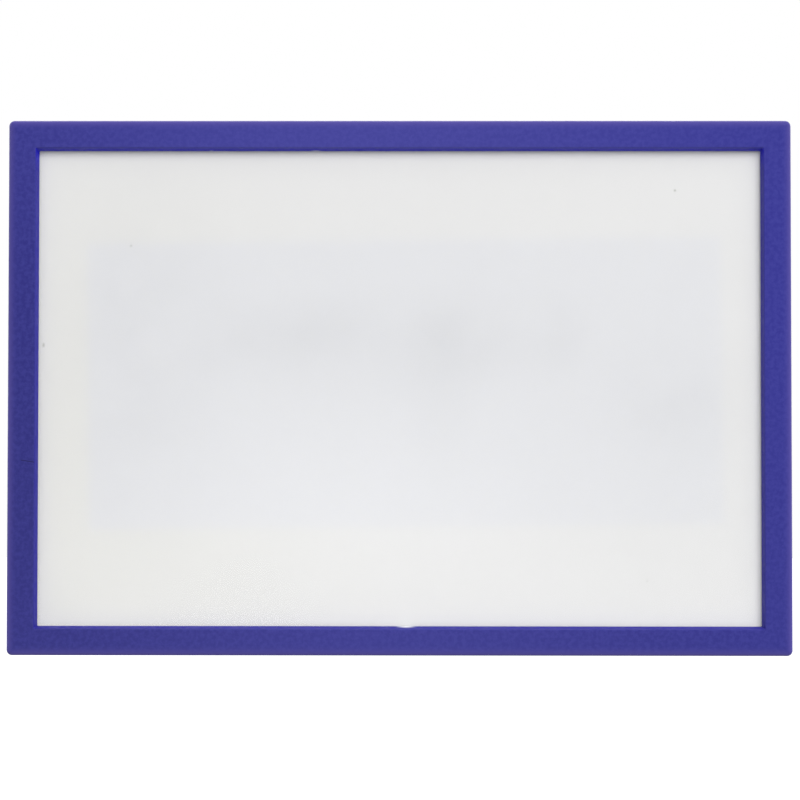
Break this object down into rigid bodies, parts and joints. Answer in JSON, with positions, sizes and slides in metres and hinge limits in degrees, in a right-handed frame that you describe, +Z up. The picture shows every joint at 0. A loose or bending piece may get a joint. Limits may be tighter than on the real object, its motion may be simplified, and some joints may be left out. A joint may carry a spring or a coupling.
{
  "type": "magnetic sign holder",
  "caption": "Landscape sign holder: a blue moulded frame with a bevelled window keeps a blank white card behind a clear cover, and a flexible magnet on the back holds it to steel.",
  "frame": {"origin": "on the magnet's flat rear face, at the middle of the frame", "axes": "+X along the width, to the right as seen from the front; +Y out of the magnet's rear face, so the front faces -Y; +Z up"},
  "size_m": [0.1604, 0.0046, 0.1094],
  "materials": {
    "blue_plastic": "satin",
    "clear_plastic": "satin",
    "white_card": "satin",
    "milky_plastic": "satin",
    "adhesive_film": "matte",
    "ferrite_rubber": "matte"
  },
  "bodies": {
    "holder": {"front_frame": "blue_plastic", "back_panel": "milky_plastic", "magnet_adhesive": "adhesive_film", "magnet_sheet": "ferrite_rubber"},
    "card": {"sign_card": "white_card"},
    "cover": {"clear_cover": "clear_plastic"}
  },
  "joints": [
    {"name": "card_slide", "type": "slide", "parent": "holder", "child": "card", "axis": [0, 0, 1], "range_m": [0, 0.11]},
    {"name": "cover_slide", "type": "slide", "parent": "holder", "child": "cover", "axis": [0, 0, 1], "range_m": [0, 0.11]}
  ]
}
